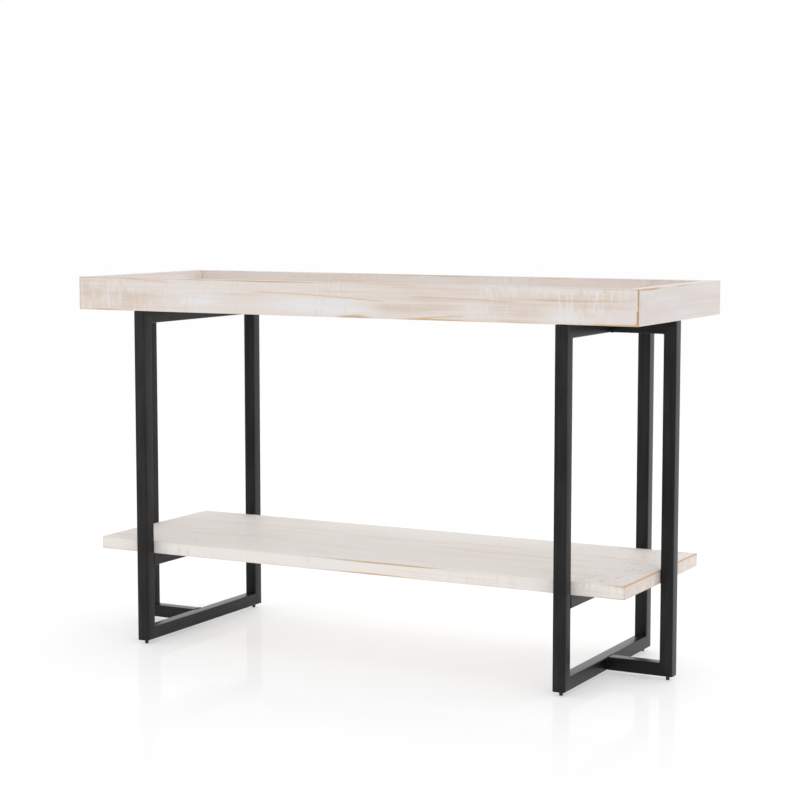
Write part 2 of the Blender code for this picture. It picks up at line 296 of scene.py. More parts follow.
rimWood = whitewashedWood("whitewashed rim", woodLook)
panelWood = whitewashedWood("whitewashed panel", panelLook)
coatedSteel = powderCoat("black powder coat", coatLook)
zincPlate = platedSteel("zinc plate", colour(196, 196, 200), 0.35)
blackOxide = platedSteel("black oxide", colour(58, 58, 60), 0.42)
footNylon = blackPlastic("black nylon", colour(16, 16, 16), 0.55, 900.0)
print("materials ready")


def finishPiece(piece, body, slotName, *nodes):
    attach(piece, body)
    if nodes:
        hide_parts(*nodes)


# numbers that vary smoothly in space, the same on every run
latticeSize = 64
lattice = np.random.default_rng(12).random((latticeSize,) * 3)


def smoothField(points, stretch, seed=0.0):
    # value noise from 0 to 1 at an array of points, with stretch lattice cells per metre
    scaled = points * np.array(stretch) + np.array((seed * 7.31, seed * 3.17, seed * 5.71))
    cell = np.floor(scaled).astype(int)
    part = scaled - cell
    part = part * part * (3 - 2 * part)
    total = np.zeros(len(points))
    for corner in range(8):
        step = np.array((corner & 1, corner >> 1 & 1, corner >> 2 & 1))
        weight = np.prod(np.where(step, part, 1 - part), axis=1)
        i, j, k = ((cell + step) % latticeSize).T
        total += weight * lattice[i, j, k]
    return total


def layeredField(points, stretch, seed=0.0, layers=3):
    total = np.zeros(len(points))
    for layer in range(layers):
        total += smoothField(points, np.array(stretch) * 2 ** layer, seed + layer) / 2 ** layer
    return total / (2 - 2 ** (1 - layers))


def smoothStep(low, high, value):
    part = np.clip((value - low) / (high - low), 0, 1)
    return part * part * (3 - 2 * part)


boardShape = dict(
    arrisZone=0.0034,          # the edges' rounding stays within this
    arrisSteps=5,
    arrisRadius=(0.0006, 0.0022),
    waviness=0.00035,          # how deep the hand-planed hollows are
    hollowLimit=0.0006,
    crackDepth=0.00025,
    crackWidth=0.0016,         # from its middle to its edge
    faceMargin=0.0035,         # a broad face starts this far from the board's edge
    toneSpread=1.1,            # how far the tone wanders along a board
    staveTone=0.45,            # and from one strip of wood to the next
    wearSpread=0.55,
    sawnLeast=0.12,
    sawnSpread=0.7,
    cornerRadius=(0.0012, 0.0016),     # of the tray's corners: the least, and how much more it can be
    edgeBlend=0.008,           # halfway down a face, one edge's wear fades into the other's over this
    joint=0.0002,              # each mitre is cut back by this
)


# one board's own values; every entry of a list stands for one place on it
plainBoard = dict(
    seed=1.0,
    spacing=(0.004, 0.0014, 0.002),    # between points along the length, width and thickness
    crackSpread=26,            # how closely natural cracks lie across the grain
    crackShare=0.42,           # how much of the board has them
    cracks=(),                 # others: [(along, across), ...] and how strong
    staves=0,                  # strips of wood side by side, each with its own tone
    toneShift=0.0,             # above 0 is more beige, below 0 is whiter
    endTone=0.0,               # the same for the sawn ends
    patches=(),                # along, across, reach along, reach across, tone
    wearLeast=0.15,            # how far the wash has rubbed off the edges everywhere
    worn=(),                   # along, edge, reach, how far
    rubbed=(),                 # along, edge, side, reach, extra rounding
    sawnSpots=(),              # along, reach, how strong
    paintedShadeFace=0.0,              # painted shade on the broad faces
    paintedShadeTop=0.0,               # and on the upper edge
    paintedShadeEnd=0.0,               # and on the sawn ends
)


def edgeSteps(length, spacing, shape):
    # positions along one axis of a board, close together near both ends
    half = length / 2
    zone = shape["arrisZone"]
    inner = np.linspace(-(half - zone), half - zone, max(2, round((length - 2 * zone) / spacing) + 1))
    near = half - zone + zone * np.linspace(0, 1, shape["arrisSteps"] + 1)[1:]
    return np.concatenate((-near[::-1], inner, near))


def boxSkin(xs, ys, zs):
    # points and faces of a closed box skin on three lists of positions
    counts = (len(xs), len(ys), len(zs))
    keys = np.arange(np.prod(counts)).reshape(counts)
    quads = []
    for axis in range(3):
        first, second = (axis + 1) % 3, (axis + 2) % 3
        for index in (0, counts[axis] - 1):
            sheet = np.moveaxis(keys, (axis, first, second), (0, 1, 2))[index]
            a, b = sheet[:-1, :-1], sheet[1:, :-1]
            c, d = sheet[1:, 1:], sheet[:-1, 1:]
            corners = (a, b, c, d) if index else (a, d, c, b)
            quads.append(np.stack(corners, axis=-1).reshape(-1, 4))
    quads = np.concatenate(quads)
    used, faces = np.unique(quads, return_inverse=True)
    i, j, k = np.unravel_index(used, counts)
    return np.stack((xs[i], ys[j], zs[k]), axis=1), faces.reshape(-1, 4)


def meshFrom(name, points, faces):
    mesh = bpy.data.meshes.new(name)
    mesh.from_pydata(points.tolist(), [], faces.tolist())
    mesh.shade_smooth()
    mesh.set_sharp_from_angle(angle=math.radians(40))
    return mesh


def addAttribute(mesh, name, values):
    kind = "FLOAT_VECTOR" if values.ndim == 2 else "FLOAT"
    field = "vector" if values.ndim == 2 else "value"
    attribute = mesh.attributes.new(name, kind, "POINT")
    attribute.data.foreach_set(field, values.astype(np.float32).ravel())


def naturalCracks(grain, spread, seed, share):
    # long cracks that wander along the grain: contour lines of a stretched field
    def field(points):
        return layeredField(points, (1.3, spread, spread), seed, 2)
    level = field(grain)
    reach = 0.0008
    slope = np.abs(field(grain + (0, reach, 0)) - level) + np.abs(field(grain + (0, 0, reach)) - level)
    distance = np.abs(level - 0.5) / (slope / reach + 1e-6)
    present = smoothStep(1 - share, 1 - share + 0.12, layeredField(grain, (4.5, 30, 30), seed + 20, 2))
    return present * np.clip(1 - distance / boardShape["crackWidth"], 0, 1)


def handCrack(grain, route, strength, halfDepth):
    # a crack through (along, across) points on the outer face, with its ends tapered
    along = np.array([point[0] for point in route])
    across = np.array([point[1] for point in route])
    centre = np.interp(grain[:, 0], along, across)
    centre += 0.0016 * (layeredField(grain * (1, 0, 0), (14, 1, 1), strength * 9 + along[0]) - 0.5)
    taper = smoothStep(along[0], along[0] + 0.03, grain[:, 0])
    taper *= smoothStep(along[-1], along[-1] - 0.04, grain[:, 0])
    onFace = grain[:, 2] > halfDepth - boardShape["faceMargin"]
    distance = np.abs(grain[:, 1] - centre)
    return strength * taper * onFace * np.clip(1 - distance / boardShape["crackWidth"], 0, 1)


def nearness(places, middle, reach):
    # 1 at the middle, falling off smoothly over the reach
    return np.exp(-((places - middle) / reach) ** 2)


def boardTone(look, raw, grain, half, arris, onEnd):
    # tone is beige above 0 and white below it; the painted shade runs from 0 to 1
    shape = boardShape
    seed = look["seed"]
    tone = look["toneShift"] + shape["toneSpread"] * (layeredField(grain, (3.2, 20, 20), seed + 9, 3) - 0.5)
    for along, across, reachAlong, reachAcross, strength in look["patches"]:
        away = ((raw[:, 0] - along) / reachAlong) ** 2 + ((raw[:, 1] - across) / reachAcross) ** 2
        tone += strength * np.exp(-away)
    if look["staves"]:
        stave = np.floor((raw[:, 1] + half[1]) / (2 * half[1]) * look["staves"])
        spots = np.stack((stave * 1.7, stave * 0.9, stave * 2.3), axis=1)
        tone += shape["staveTone"] * (smoothField(spots, (1, 1, 1), seed) - 0.5)
    tone += look["endTone"] * onEnd

    # painted shade on the broad faces, the upper edge and the sawn ends
    onFace = smoothStep(half[2] - shape["faceMargin"], half[2] - 0.0015, np.abs(raw[:, 2]))
    onFace *= smoothStep(0.0, 0.0012, arris)
    onTop = smoothStep(half[1] - 0.0018, half[1] - 0.0004, raw[:, 1])
    paintedShade = np.maximum(look["paintedShadeFace"] * onFace, look["paintedShadeTop"] * onTop)
    return tone, np.maximum(paintedShade, look["paintedShadeEnd"] * onEnd)


def woodBoard(node, size, turn, place, material, look, mitred=False):
    # turn holds the board's length, width and thickness directions in the room
    shape = boardShape
    look = dict(plainBoard, **look)
    seed = look["seed"]
    steps = [edgeSteps(extent, gap, shape) for extent, gap in zip(size, look["spacing"])]
    raw, faces = boxSkin(*steps)
    half = np.array(size) / 2

    # each long edge has its own wandering roundness
    low, high = shape["arrisRadius"]
    edgeKey = np.clip(raw[:, 1:] / shape["edgeBlend"], -1, 1)
    lengthwise = np.stack((raw[:, 0], edgeKey[:, 0] * 3.1 + seed, edgeKey[:, 1] * 5.3), axis=1)
    roundness = layeredField(lengthwise, (11, 1, 1), seed, 3)
    radius = low + (high - low) * smoothStep(0.42, 0.80, roundness)
    for along, edge, side, reachAlong, extra in look["rubbed"]:
        away = ((raw[:, 0] - along) / reachAlong) ** 2
        radius += extra * np.exp(-away ** 2) * np.prod(0.5 + 0.5 * edgeKey * (edge, side), axis=1)
    radius = np.minimum(radius, shape["arrisZone"] - 0.0001)
    limit = half - radius[:, None]
    if mitred:
        limit[:, 0] = np.inf
    inner = np.clip(raw, -limit, limit)
    outward = raw - inner
    outward /= np.linalg.norm(outward, axis=1)[:, None] + 1e-12

    # distance to the nearest edge, along the skin
    gaps = np.sort(half - np.abs(raw), axis=1)
    arris = np.maximum(gaps[:, 1] - radius * 0.8, 0)

    if mitred:
        inset = half[2] - raw[:, 2] + shape["joint"]
        raw[:, 0] *= 1 - inset / half[0]
        inner[:, 0] = raw[:, 0]
    grain = raw + np.array((2.37, 0.41, 0.29)) * seed      # each board is cut from its own place

    crack = naturalCracks(grain, look["crackSpread"], seed, look["crackShare"])
    for route, strength in look["cracks"]:
        crack = np.maximum(crack * 0.999, handCrack(raw, route, strength, half[2]))
    hollow = shape["waviness"] * layeredField(grain, (9, 26, 26), seed + 4, 2)
    depth = np.minimum(hollow, shape["hollowLimit"]) * smoothStep(0.0, 0.004, arris)
    depth += shape["crackDepth"] * crack
    local = inner + outward * (radius - depth)[:, None]

    # how far the wash has rubbed off each long edge, and where the saw has left its marks
    wear = layeredField(lengthwise, (6, 1, 1), seed + 30, 3)
    wear = look["wearLeast"] + shape["wearSpread"] * smoothStep(0.52, 0.78, wear)
    for along, edge, reach, strength in look["worn"]:
        wear += strength * nearness(raw[:, 0], along, reach) * (0.5 + 0.5 * edgeKey[:, 0] * edge)
    sawn = smoothStep(0.50, 0.72, layeredField(grain, (7, 22, 22), seed + 15, 2))
    sawn = shape["sawnLeast"] + shape["sawnSpread"] * sawn
    for along, reach, strength in look["sawnSpots"]:
        sawn += strength * nearness(raw[:, 0], along, reach)

    onEnd = smoothStep(half[0] - 0.002, half[0] - 0.0005, np.abs(raw[:, 0]))
    tone, paintedShade = boardTone(look, raw, grain, half, arris, onEnd)

    mesh = meshFrom(node + "_board", local @ np.array(turn) + np.array(place), faces)
    written = dict(grain=grain, arris=arris, wear=wear, crack=crack, tone=tone, sawn=sawn, paintedShade=paintedShade)
    for name, values in written.items():
        addAttribute(mesh, name, values)
    mesh.materials.append(material)
    return newObject(node + "_board", mesh)


def roundTrayCorners(board, trayLength, trayDepth):
    # the upright outer edges, where two rims meet, wear round together
    mesh = board.data
    points = pointsOf(mesh)
    corner = np.stack((np.sign(points[:, 0]) * 2, np.sign(points[:, 1]) * 3, points[:, 2]), axis=1)
    least, more = boardShape["cornerRadius"]
    radius = least + more * layeredField(corner, (1, 1, 40), 5.0, 2)
    limit = np.array((trayLength / 2, trayDepth / 2)) - radius[:, None]
    inner = np.clip(points[:, :2], -limit, limit)
    outward = points[:, :2] - inner
    reach = np.linalg.norm(outward, axis=1)
    both = (np.abs(outward) > 1e-9).all(axis=1) & (reach > radius)
    points[both, :2] = inner[both] + outward[both] * (radius[both] / reach[both])[:, None]
    mesh.vertices.foreach_set("co", points.ravel())
    mesh.update()


def cornerWear(length, end):
    # worn wood all the way up one end of a rim
    return [(end * length / 2, edge, 0.004, 0.7) for edge in (-1, 1)]


# each rim's places are measured from its middle, with its outer face towards the viewer
# each rim has painted shade on its upper edge, and some on its broad faces
rimLooks = dict(
    rim_front=dict(
        seed=1.0,
        cracks=[
            ([(-0.52, 0.0335), (-0.46, 0.0300), (-0.41, 0.0272), (-0.36, 0.0240)], 0.75),
            ([(-0.43, 0.0062), (-0.38, 0.0105)], 0.55),
            ([(-0.20, 0.0112), (-0.10, 0.0100), (-0.04, 0.0078), (0.02, 0.0045), (0.08, 0.0004),
              (0.12, 0.0002)], 0.95),
            ([(0.14, 0.0098), (0.21, 0.0092), (0.27, 0.0084), (0.32, 0.0060), (0.38, 0.0036)], 0.9),
            ([(0.39, 0.0100), (0.49, 0.0094), (0.53, 0.0112), (0.59, 0.0098)], 0.8),
            ([(-0.02, -0.0300), (0.05, -0.0275), (0.09, -0.0318)], 0.7),
        ],
        patches=[
            (-0.57, 0.005, 0.03, 0.02, 0.7), (-0.45, -0.008, 0.05, 0.02, 0.5),
            (-0.22, 0.005, 0.05, 0.016, 0.5), (0.12, -0.015, 0.05, 0.014, 0.6),
            (0.20, -0.006, 0.05, 0.02, 0.5), (0.37, -0.014, 0.07, 0.014, 0.7),
            (-0.53, -0.013, 0.02, 0.012, -0.7), (-0.32, -0.013, 0.06, 0.014, -0.8),
            (-0.08, -0.011, 0.07, 0.015, -0.9), (0.02, -0.010, 0.05, 0.013, -0.8),
            (0.29, -0.009, 0.02, 0.012, -0.6), (0.46, -0.017, 0.03, 0.012, -0.8),
        ],
        worn=[(-0.16, 1, 0.10, 0.8), (-0.54, -1, 0.05, 0.8), (0.035, -1, 0.030, 1.0),
              (0.22, -1, 0.08, 0.5), (0.38, -1, 0.04, 0.5)],
        sawnSpots=[(-0.02, 0.04, 0.6), (0.33, 0.05, 0.4), (-0.36, 0.06, 0.3), (0.52, 0.05, 0.5)],
        paintedShadeTop=0.9,
    ),
    rim_back=dict(seed=2.0, toneShift=-0.1, paintedShadeTop=0.9, patches=[(0.03, 0.02, 0.2, 0.03, -0.35)]),
    rim_left=dict(seed=3.0, toneShift=-0.15, paintedShadeFace=0.10, paintedShadeTop=0.9),
    rim_right=dict(seed=4.0, toneShift=-0.25, paintedShadeFace=0.65, paintedShadeTop=0.9,
                   worn=[(-0.16, 1, 0.05, 0.7), (0.02, 1, 0.06, 0.4)]),
)
trayFloorLook = dict(
    seed=5.0,
    spacing=(0.006, 0.003, 0.003),
    crackSpread=9,
    crackShare=0.30,
    staves=4,
    # painted shade on the tray floor's broad faces
    paintedShadeFace=0.8,
)
shelfLook = dict(
    seed=6.0,
    spacing=(0.005, 0.003, 0.0014),
    crackSpread=9,
    crackShare=0.25,
    staves=4,
    endTone=0.7,
    wearLeast=0.27,
    worn=[(0.40, -1, 0.11, -0.9), (0.05, -1, 0.09, 0.5)],
    rubbed=[(0.49, -1, 1, 0.09, 0.0022), (-0.38, -1, 1, 0.05, 0.0015)],
    sawnSpots=[(-0.37, 0.05, 0.8), (0.51, 0.06, 1.5), (-0.10, 0.05, 0.5), (0.20, 0.04, 0.5)],
    # painted shade on the shelf's broad faces and sawn ends
    paintedShadeFace=0.42,
    paintedShadeEnd=0.45,
)


def buildTray():
    frontLow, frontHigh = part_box("rim_front")
    backLow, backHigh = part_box("rim_back")
    leftLow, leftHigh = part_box("rim_left")
    rightLow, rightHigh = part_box("rim_right")
    trayLength = rightHigh.x - leftLow.x
    trayDepth = backHigh.y - frontLow.y
    rimHeight = frontHigh.z - frontLow.z
    rimThickness = frontHigh.y - frontLow.y
    middle = (frontHigh.z + frontLow.z) / 2
    offY = (trayDepth - rimThickness) / 2
    offX = (trayLength - rimThickness) / 2
    rims = [
        ("rim_front", trayLength, (axisX, axisZ, -axisY), (0, -offY, middle), (-1, 1)),
        ("rim_back", trayLength, (-axisX, axisZ, axisY), (0, offY, middle), ()),
        ("rim_left", trayDepth, (-axisY, axisZ, -axisX), (-offX, 0, middle), ()),
        ("rim_right", trayDepth, (axisY, axisZ, axisX), (offX, 0, middle), (-1,)),
    ]
    for node, length, turn, place, wornEnds in rims:
        look = dict(rimLooks[node])
        look["worn"] = look.get("worn", []) + [spot for end in wornEnds for spot in cornerWear(length, end)]
        board = woodBoard(node, (length, rimHeight, rimThickness), turn, place, rimWood, look, mitred=True)
        roundTrayCorners(board, trayLength, trayDepth)
        finishPiece(board, tableBody, "whitewashed_wood", node)


def buildPanel(node, look):
    low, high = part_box(node)
    board = woodBoard(node, tuple(high - low), (axisX, axisY, axisZ), (low + high) / 2, panelWood, look)
    finishPiece(board, tableBody, "whitewashed_wood", node)


buildTray()
buildPanel("tray_floor", trayFloorLook)
buildPanel("shelf", shelfLook)
print("boards ready")


def newTree(name, sizes, onPlaces=False):
    # sizes gives each input's name and first value; whole numbers become whole-number inputs
    tree = bpy.data.node_groups.new(name, "GeometryNodeTree")
    if onPlaces:
        tree.interface.new_socket("Places", in_out="INPUT", socket_type="NodeSocketGeometry")
    for label, value in sizes.items():
        kind = "NodeSocketInt" if isinstance(value, int) else "NodeSocketFloat"
        tree.interface.new_socket(label, in_out="INPUT", socket_type=kind).default_value = value
    tree.interface.new_socket("Material", in_out="INPUT", socket_type="NodeSocketMaterial")
    tree.interface.new_socket("Mesh", in_out="OUTPUT", socket_type="NodeSocketGeometry")
    return tree, tree.nodes.new("NodeGroupInput").outputs


def endTree(tree, geometry, material):
    solid = result(tree, "GeometryNodeRealizeInstances", {"Geometry": geometry})
    painted = result(tree, "GeometryNodeSetMaterial", {"Geometry": solid, "Material": material})
    tree.links.new(painted, tree.nodes.new("NodeGroupOutput").inputs[0])


def makeFromTree(name, tree, values, places=(), edges=()):
    # runs a tree once on these points and keeps its result as a plain mesh object
    start = bpy.data.meshes.new(name + "_holder")
    start.from_pydata([tuple(place) for place in places], list(edges), [])
    holder = newObject(name + "_holder", start)
    modifier = holder.modifiers.new("maker", "NODES")
    modifier.node_group = tree
    for item in tree.interface.items_tree:
        if item.in_out == "INPUT" and item.name in values:
            modifier[item.identifier] = values[item.name]
    mesh = bakedMesh(holder)
    mesh.name = name
    holder.modifiers.remove(modifier)
    bpy.data.objects.remove(holder)
    return newObject(name, mesh)


tubeShape = dict(
    wall=0.0015,
    cornerRadius=0.0021,
    cornerSteps=6,
    mitreTrim=0.0002,          # a mitred end grows by this to close the CAD's gap
    buttTrim=0.0003,           # and a square-cut end by this
    boltHole=0.0035,           # in the upper wall
    headHole=0.0070,           # in the lower wall, where a bolt's head and the key go in
    stemHole=0.0029,
    holeSides=32,
)


def squareTubeTree():
    # a tube along Z with its middle at the origin; a mitred end is long on the +Y side
    tree, given = newTree("square tube", {
        "Length": 0.5, "Width": 0.025, "Wall": 0.0015, "Corner Radius": 0.002, "Corner Steps": 6,
        "Start Mitre": 0.0, "End Mitre": 0.0})

    def outline(width, radius):
        square = result(tree, "GeometryNodeCurvePrimitiveQuadrilateral", {"Width": width, "Height": width})
        return result(tree, "GeometryNodeFilletCurve", {"Curve": square, "Count": given["Corner Steps"],
                      "Radius": radius}, mode="POLY")

    bore = minus(tree, given["Width"], times(tree, given["Wall"], 2.0))
    boreRadius = minus(tree, given["Corner Radius"], given["Wall"])
    rings = addNode(tree, "GeometryNodeJoinGeometry")
    tree.links.new(outline(given["Width"], given["Corner Radius"]), rings.inputs[0])
    tree.links.new(outline(bore, boreRadius), rings.inputs[0])
    face = result(tree, "GeometryNodeFillCurve", {"Curve": rings.outputs[0]})
    lower = result(tree, "GeometryNodeFlipFaces", {"Mesh": face})
    rise = result(tree, "ShaderNodeCombineXYZ", {"Z": given["Length"]})
    wall = result(tree, "GeometryNodeExtrudeMesh", {"Mesh": face, "Offset": rise, "Offset Scale": 1.0,
                  "Individual": False}, mode="FACES")
    both = addNode(tree, "GeometryNodeJoinGeometry")
    tree.links.new(wall, both.inputs[0])
    tree.links.new(lower, both.inputs[0])
    closed = result(tree, "GeometryNodeMergeByDistance", {"Geometry": both.outputs[0], "Distance": 0.00001})

    # centre it, then slide the end points along the tube to cut the mitres
    place = result(tree, "GeometryNodeInputPosition")
    parts = addNode(tree, "ShaderNodeSeparateXYZ", {0: place})
    atEnd = maths(tree, "GREATER_THAN", parts.outputs[2], times(tree, given["Length"], 0.5))
    atStart = minus(tree, 1.0, atEnd)
    halfWidth = times(tree, given["Width"], 0.5)
    endCut = times(tree, times(tree, atEnd, given["End Mitre"]), minus(tree, parts.outputs[1], halfWidth))
    startCut = times(tree, times(tree, atStart, given["Start Mitre"]),
                     minus(tree, halfWidth, parts.outputs[1]))
    shift = minus(tree, add(tree, endCut, startCut), times(tree, given["Length"], 0.5))
    offset = result(tree, "ShaderNodeCombineXYZ", {"Z": shift})
    cut = result(tree, "GeometryNodeSetPosition", {"Geometry": closed, "Offset": offset})
    endTree(tree, cut, given["Material"])
    return tree


def tubeRoutes(direction):
    # along, outward side, and which ends are mitred, for the tubes of one end of the table
    outwardX = axisX * direction
    return {
        "front_leg": (axisZ, -axisY, True, True),
        "back_leg": (axisZ, axisY, True, True),
        "top_bar": (axisY, axisZ, True, True),
        "bottom_bar": (axisY, -axisZ, True, True),
        "shelf_bar": (axisY, axisZ, False, False),
        "end_leg": (axisZ, outwardX, True, True),
        "end_top_bar": (outwardX, axisZ, False, True),
        "end_bottom_bar": (outwardX, -axisZ, False, True),
    }


def tubeHoles(side):
    # the fasteners of each tube, the radius of their holes in its lower wall, and in its upper wall
    close = tubeShape["boltHole"]
    wide = tubeShape["headHole"]
    stems = tubeShape["stemHole"]
    return {
        "top_bar": ([side + "_front_top_bolt", side + "_back_top_bolt"], wide, close),
        "end_top_bar": ([side + "_end_top_bolt"], wide, close),
        "shelf_bar": ([side + "_front_shelf_bolt", side + "_back_shelf_bolt"], wide, close),
        "bottom_bar": ([side + "_front_foot_stem", side + "_back_foot_stem"], stems, None),
        "end_bottom_bar": ([side + "_end_foot_stem"], stems, None),
    }


def drillTube(piece, tubeNode, fasteners, lowerRadius, upperRadius):
    low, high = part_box(tubeNode)
    depth = 3 * tubeShape["wall"]
    levels = [(low.z + tubeShape["wall"] / 2, lowerRadius)]
    if upperRadius:
        levels.append((high.z - tubeShape["wall"] / 2, upperRadius))
    drills = bmesh.new()
    for fastener in fasteners:
        first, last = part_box(fastener)
        for height, radius in levels:
            spot = ((first.x + last.x) / 2, (first.y + last.y) / 2, height)
            bmesh.ops.create_cone(drills, cap_ends=True, segments=tubeShape["holeSides"], radius1=radius,
                                  radius2=radius, depth=depth, matrix=Matrix.Translation(spot))
    cutter = newObject("drills", bpy.data.meshes.new("drills"))
    drills.to_mesh(cutter.data)
    drills.free()
    modifier = piece.modifiers.new("holes", "BOOLEAN")
    modifier.object = cutter
    drilled = bakedMesh(piece)
    piece.modifiers.remove(modifier)
    piece.data = drilled
    bpy.data.objects.remove(cutter)


def shadeTube(mesh, home):
    # flat sides stay flat, rounded corners and holes are smooth; tubePlace is a point's place along its tube
    normals = np.zeros(len(mesh.polygons) * 3)
    mesh.polygons.foreach_get("normal", normals)
    rounded = np.abs(normals.reshape(-1, 3)).max(axis=1) < 0.9999
    mesh.polygons.foreach_set("use_smooth", rounded)
    mesh.set_sharp_from_angle(angle=math.radians(30))
    addAttribute(mesh, "tubePlace", pointsOf(mesh) @ np.array(home.to_3x3()).T + np.array(home.translation))


def buildTubes():
    tree = squareTubeTree()
    for side, direction in sideTurns.items():
        holes = tubeHoles(side)
        for part, (along, outward, mitredStart, mitredEnd) in tubeRoutes(direction).items():
            node = side + "_" + part
            low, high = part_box(node)
            extent = high - low
            startTrim = tubeShape["mitreTrim"] if mitredStart else tubeShape["buttTrim"]
            endTrim = tubeShape["mitreTrim"] if mitredEnd else tubeShape["buttTrim"]
            centre = (low + high) / 2 + along * (endTrim - startTrim) / 2
            piece = makeFromTree(node + "_tube", tree, {
                "Length": max(extent) + startTrim + endTrim, "Width": min(extent), "Wall": tubeShape["wall"],
                "Corner Radius": tubeShape["cornerRadius"], "Corner Steps": tubeShape["cornerSteps"],
                "Start Mitre": float(mitredStart), "End Mitre": float(mitredEnd), "Material": coatedSteel})
            turn = Matrix((outward.cross(along), outward, along)).transposed().to_4x4()
            toRoom = Matrix.Translation(centre) @ turn
            piece.data.transform(toRoom)
            if part in holes:
                drillTube(piece, node, *holes[part])
            shadeTube(piece.data, toRoom.inverted())
            finishPiece(piece, tableBody, "black_powder_coat", node)


buildTubes()
print("tubes ready")


weldShape = dict(
    radius=0.0011,
    ripple=0.0009,       # distance from one ripple to the next
    segments=8,
    rings=6,
    unevenness=(0.85, 1.1),
    inset=0.0020,        # beads stop this far short of the tube's corners
)


def weldTree():
    # a row of overlapping drops along every edge of the given mesh
    tree, given = newTree("weld beads", {
        "Radius": 0.001, "Ripple": 0.001, "Segments": 8, "Rings": 6, "Seed": 4}, onPlaces=True)
    seams = result(tree, "GeometryNodeMeshToCurve", {"Mesh": given["Places"]})
    spots = result(tree, "GeometryNodeResampleCurve", {"Curve": seams, "Length": given["Ripple"]},
                   mode="LENGTH")
    drop = result(tree, "GeometryNodeMeshUVSphere", {"Segments": given["Segments"], "Rings": given["Rings"],
                  "Radius": given["Radius"]})
    smoothDrop = result(tree, "GeometryNodeSetShadeSmooth", {"Geometry": drop})
    least, most = weldShape["unevenness"]
    size = addNode(tree, "FunctionNodeRandomValue", {2: least, 3: most, "Seed": given["Seed"]},
                   data_type="FLOAT")
    beads = result(tree, "GeometryNodeInstanceOnPoints", {"Points": spots, "Instance": smoothDrop,
                   "Scale": size.outputs[1]})
    endTree(tree, beads, given["Material"])
    return tree


def weldSeams(side, direction):
    # start and end of every bead on one end of the table, as (x, y, z) pairs
    seams = []
    inset = weldShape["inset"]

    def across(low, high, plane, which, level):
        # the level seam and the two upright ones of a tube that butts on a plane across X (0) or Y (1)
        other = 1 - which
        near, far = low[other], high[other]
        start, end = [0, 0, level], [0, 0, level]
        start[which] = end[which] = plane
        start[other], end[other] = near + inset, far - inset
        seams.append((start, end))
        for edge in (near, far):
            start, end = [0, 0, low[2] + inset], [0, 0, high[2] - inset]
            start[which] = end[which] = plane
            start[other] = end[other] = edge
            seams.append((start, end))

    low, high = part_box(side + "_shelf_bar")
    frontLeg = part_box(side + "_front_leg")
    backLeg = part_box(side + "_back_leg")
    for plane in (frontLeg[1].y, backLeg[0].y):
        across(low, high, plane, 1, low.z)
    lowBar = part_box(side + "_bottom_bar")
    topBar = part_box(side + "_top_bar")
    outerFace = lowBar[1].x if direction > 0 else lowBar[0].x
    low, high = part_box(side + "_end_bottom_bar")
    across(low, high, outerFace, 0, high.z)
    low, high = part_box(side + "_end_top_bar")
    across(low, high, outerFace, 0, low.z)

    # straight beads in the inner corners of the mitred frame and of the end leg
    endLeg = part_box(side + "_end_leg")
    x = endLeg[0].x if direction > 0 else endLeg[1].x
    for z in (lowBar[1].z, topBar[0].z):
        for y in (frontLeg[1].y, backLeg[0].y):
            seams.append(((lowBar[0].x + inset, y, z), (lowBar[1].x - inset, y, z)))
        seams.append(((x, endLeg[0].y + inset, z), (x, endLeg[1].y - inset, z)))
    return seams


def buildWelds():
    seams = weldSeams("left", -1) + weldSeams("right", 1)
    places = [point for seam in seams for point in seam]
    edges = [(2 * index, 2 * index + 1) for index in range(len(seams))]
    piece = makeFromTree("weld_beads", weldTree(), {
        "Radius": weldShape["radius"], "Ripple": weldShape["ripple"], "Segments": weldShape["segments"],
        "Rings": weldShape["rings"], "Material": coatedSteel}, places, edges)
    addAttribute(piece.data, "tubePlace", pointsOf(piece.data))
    finishPiece(piece, tableBody, "black_powder_coat")


buildWelds()
print("welds ready")


def pick(tree, index, values):
    # the value that stands at this place in the list
    node = addNode(tree, "GeometryNodeIndexSwitch", data_type="FLOAT")
    while len(node.index_switch_items) < len(values):
        node.index_switch_items.new()
    for socket, value in zip(node.inputs[1:], values):
        if isinstance(value, bpy.types.NodeSocket):
            tree.links.new(value, socket)
        else:
            socket.default_value = value
    tree.links.new(index, node.inputs[0])
    return node.outputs[0]


def polarGrid(tree, rows, segments):
    # a sheet of rows by segments; gives its mesh, each point's row and its angle round Z
    count = add(tree, segments, 1.0)
    sheet = result(tree, "GeometryNodeMeshGrid", {"Vertices X": rows, "Vertices Y": count})
    index = result(tree, "GeometryNodeInputIndex")
    row = maths(tree, "FLOOR", divide(tree, add(tree, index, 0.5), count))
    spoke = minus(tree, index, times(tree, row, count))
    angle = times(tree, divide(tree, spoke, segments), 2 * math.pi)
    return sheet, row, angle


def rolledUp(tree, sheet, radius, height, angle):
    x = times(tree, radius, maths(tree, "COSINE", angle))
    y = times(tree, radius, maths(tree, "SINE", angle))
    place = result(tree, "ShaderNodeCombineXYZ", {0: x, 1: y, 2: height})
    rolled = result(tree, "GeometryNodeSetPosition", {"Geometry": sheet, "Position": place})
    outward = result(tree, "GeometryNodeFlipFaces", {"Mesh": rolled})
    return result(tree, "GeometryNodeMergeByDistance", {"Geometry": outward, "Distance": 0.000005})


def moved(tree, base, length, factor):
    # base and factor lengths more
    return result(tree, "ShaderNodeMath", {0: length, 1: factor, 2: base}, operation="MULTIPLY_ADD")


boltShape = dict(
    radius=0.0030,
    headRadius=0.0055,
    headHeight=0.0033,
    socketFlats=0.0040,
    socketDepth=0.0020,
    socketEdge=0.0002,
    flatRim=0.66,          # the flat ring round the socket, as a share of the socket's flats
    domeShare=0.86,        # of the head's height
    tipEdge=0.2,           # as a share of the radius
    domeSteps=7,
    segments=36,
)


